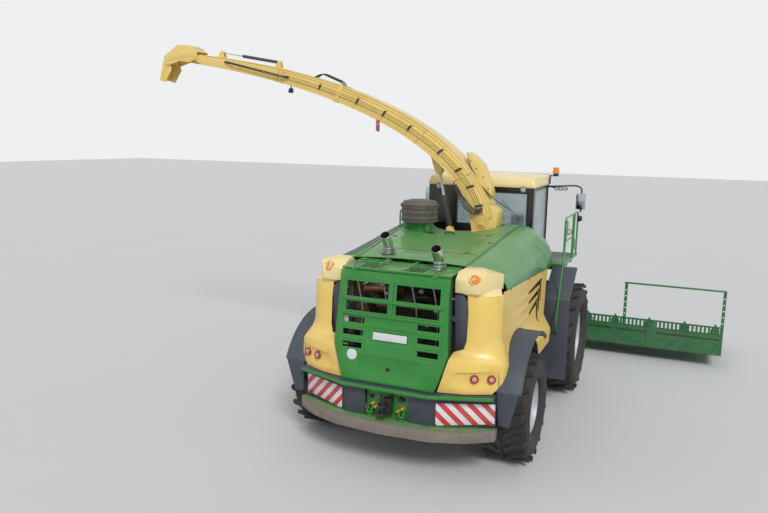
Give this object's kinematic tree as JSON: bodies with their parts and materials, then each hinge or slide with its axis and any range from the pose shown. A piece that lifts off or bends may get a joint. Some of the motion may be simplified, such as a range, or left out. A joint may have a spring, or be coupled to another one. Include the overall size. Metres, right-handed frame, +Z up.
{
  "type": "forage harvester",
  "caption": "Self-propelled forage harvester with a hinged, slewing discharge spout, a tall cab, rear-wheel steering and a wide folding maize header.",
  "frame": {"origin": "middle of the whole machine's box, on the ground, with the spout swung out to the left and the header unfolded", "axes": "+Y is forward, +X is the machine's right side and +Z is up"},
  "size_m": [11.29, 9.91, 6.47],
  "materials": {
    "frame_paint": "satin",
    "engine_paint": "matt",
    "axle_paint": "satin",
    "knuckle_steel": "satin",
    "tyre_rubber": "matt",
    "rim_silver": "satin",
    "body_green": "gloss",
    "body_yellow": "gloss",
    "cream": "gloss",
    "dark_plastic": "matt",
    "black_plastic": "matt",
    "amber_lens": "gloss",
    "red_white_board": "gloss",
    "coupling_black": "satin",
    "stack_chrome": "polished",
    "cab_black": "satin",
    "cab_glass": "clear",
    "seat_cloth": "woven",
    "rod_chrome": "polished",
    "header_green": "gloss",
    "chain_steel": "worn"
  },
  "bodies": {
    "machine": {"chassis": "frame_paint", "engine_block": "engine_paint", "front_axle": "axle_paint", "rear_axle": "axle_paint", "hood": "body_green", "rear_deck": "body_green", "rear_corners": "body_yellow", "corner_panels": "dark_plastic", "lamp_pods": "cream", "corner_lamps": "amber_lens", "bumper": "dark_plastic", "bumper_lip": "dark_plastic", "hazard_boards": "red_white_board", "trailer_coupling": "coupling_black", "rear_mudguards": "dark_plastic", "front_mudguards": "dark_plastic", "exhausts": "stack_chrome", "intake_drum": "dark_plastic", "cab_frame": "cab_black", "cab_roof": "cream", "cab_windows": "cab_glass", "driver_seat": "seat_cloth", "console": "black_plastic", "mirrors": "black_plastic", "beacon": "amber_lens", "platforms": "body_green"},
    "tailgate": {"tailgate": "body_green"},
    "side_door_left": {"side_door_left": "body_yellow"},
    "side_door_right": {"side_door_right": "body_yellow"},
    "cab_door": {"cab_door": "cab_black", "cab_door_glass": "cab_glass"},
    "knuckle_left": {"knuckle_left": "knuckle_steel"},
    "knuckle_right": {"knuckle_right": "knuckle_steel"},
    "front_wheel_left": {"front_rim_left": "rim_silver", "front_tyre_left": "tyre_rubber"},
    "front_wheel_right": {"front_rim_right": "rim_silver", "front_tyre_right": "tyre_rubber"},
    "rear_wheel_left": {"rear_rim_left": "rim_silver", "rear_tyre_left": "tyre_rubber"},
    "rear_wheel_right": {"rear_rim_right": "rim_silver", "rear_tyre_right": "tyre_rubber"},
    "spout_turret": {"spout_turret": "body_yellow"},
    "spout_arm": {"spout_arm": "body_yellow"},
    "spout_flap_upper": {"spout_flap_upper": "body_yellow"},
    "spout_flap_lower": {"spout_flap_lower": "body_yellow"},
    "spout_lift_barrel": {"spout_lift_barrel": "dark_plastic"},
    "spout_lift_rod": {"spout_lift_rod": "rod_chrome"},
    "header": {"intake_housing": "header_green", "header_middle": "header_green", "chain_middle": "chain_steel"},
    "header_lift_barrels": {"header_lift_barrels": "dark_plastic"},
    "header_lift_rods": {"header_lift_rods": "rod_chrome"},
    "header_wing_left": {"header_wing_left": "header_green", "chain_left": "chain_steel"},
    "header_wing_right": {"header_wing_right": "header_green", "chain_right": "chain_steel"}
  },
  "joints": [
    {"name": "front_wheel_left_spin", "type": "hinge", "parent": "machine", "child": "front_wheel_left", "pos_m": [-0.375, -0.005, 1.015], "axis": [1, 0, 0], "continuous": true},
    {"name": "front_wheel_right_spin", "type": "hinge", "parent": "machine", "child": "front_wheel_right", "pos_m": [2.665, -0.005, 1.015], "axis": [1, 0, 0], "continuous": true},
    {"name": "rear_wheel_left_spin", "type": "hinge", "parent": "knuckle_left", "child": "rear_wheel_left", "pos_m": [-0.37, -3.435, 0.8], "axis": [1, 0, 0], "continuous": true},
    {"name": "rear_wheel_right_spin", "type": "hinge", "parent": "knuckle_right", "child": "rear_wheel_right", "pos_m": [2.66, -3.435, 0.8], "axis": [1, 0, 0], "continuous": true},
    {"name": "steer_left", "type": "hinge", "parent": "machine", "child": "knuckle_left", "pos_m": [-0.255, -3.435, 0.8], "axis": [0, 0, 1], "range_deg": [-26, 26]},
    {"name": "steer_right", "type": "hinge", "parent": "machine", "child": "knuckle_right", "pos_m": [2.545, -3.435, 0.8], "axis": [0, 0, 1], "range_deg": [-26, 26]},
    {"name": "tailgate_lift", "type": "hinge", "parent": "machine", "child": "tailgate", "pos_m": [1.145, -4.565, 2.82], "axis": [-1, 0, 0], "range_deg": [0, 75]},
    {"name": "side_door_left_lift", "type": "hinge", "parent": "machine", "child": "side_door_left", "pos_m": [-0.307, -0.935, 2.43884], "axis": [0, 0.9983, -0.0579], "range_deg": [0, 70]},
    {"name": "side_door_right_lift", "type": "hinge", "parent": "machine", "child": "side_door_right", "pos_m": [2.597, -0.935, 2.43884], "axis": [0, -0.9983, 0.0579], "range_deg": [0, 70]},
    {"name": "cab_door_swing", "type": "hinge", "parent": "machine", "child": "cab_door", "pos_m": [0.115, -0.272, 3.1], "axis": [0, 0, 1], "range_deg": [0, 75]},
    {"name": "spout_slew", "type": "hinge", "parent": "machine", "child": "spout_turret", "pos_m": [1.145, -1.155, 2.9], "axis": [0, 0, 1], "range_deg": [-15, 195]},
    {"name": "spout_lift", "type": "hinge", "parent": "spout_turret", "child": "spout_arm", "pos_m": [1.465, -1.155, 3.2], "axis": [0, 1, 0], "range_deg": [-4, 12]},
    {"name": "spout_lift_barrel_swing", "type": "hinge", "parent": "spout_turret", "child": "spout_lift_barrel", "pos_m": [0.815, -1.155, 3.06], "axis": [0, 1, 0], "range_deg": [-5, 13]},
    {"name": "spout_lift_rod_slide", "type": "slide", "parent": "spout_lift_barrel", "child": "spout_lift_rod", "axis": [-0.2241, 0, 0.9746], "range_m": [-0.06, 0.15]},
    {"name": "spout_flap_upper_tilt", "type": "hinge", "parent": "spout_arm", "child": "spout_flap_upper", "pos_m": [-4.755, -1.155, 6.215], "axis": [0, 1, 0], "range_deg": [-25, 30]},
    {"name": "spout_flap_lower_tilt", "type": "hinge", "parent": "spout_flap_upper", "child": "spout_flap_lower", "pos_m": [-5.445, -1.155, 6.13], "axis": [0, 1, 0], "range_deg": [-20, 45]},
    {"name": "header_lift", "type": "hinge", "parent": "machine", "child": "header", "pos_m": [1.145, 0.975, 1.13], "axis": [1, 0, 0], "range_deg": [0, 12]},
    {"name": "header_lift_barrels_swing", "type": "hinge", "parent": "machine", "child": "header_lift_barrels", "pos_m": [1.145, 0.515, 0.7], "axis": [1, 0, 0], "range_deg": [-1, 10]},
    {"name": "header_lift_rods_slide", "type": "slide", "parent": "header_lift_barrels", "child": "header_lift_rods", "axis": [0, 0.9827, -0.1851], "range_m": [-0.01, 0.12]},
    {"name": "header_wing_left_fold", "type": "hinge", "parent": "header", "child": "header_wing_left", "pos_m": [-0.355, 2.995, 0.915], "axis": [0, 1, 0], "range_deg": [0, 90]},
    {"name": "header_wing_right_fold", "type": "hinge", "parent": "header", "child": "header_wing_right", "pos_m": [2.645, 2.995, 0.915], "axis": [0, -1, 0], "range_deg": [0, 90]}
  ],
  "couplings": [
    {"joint": "steer_right", "follows": "steer_left", "ratio": 1},
    {"joint": "spout_lift_barrel_swing", "follows": "spout_lift", "ratio": 0.9661},
    {"joint": "spout_lift_rod_slide", "follows": "spout_lift", "m_per_rad": 0.6641},
    {"joint": "header_lift_barrels_swing", "follows": "header_lift", "ratio": 0.721},
    {"joint": "header_lift_rods_slide", "follows": "header_lift", "m_per_rad": 0.4831}
  ]
}
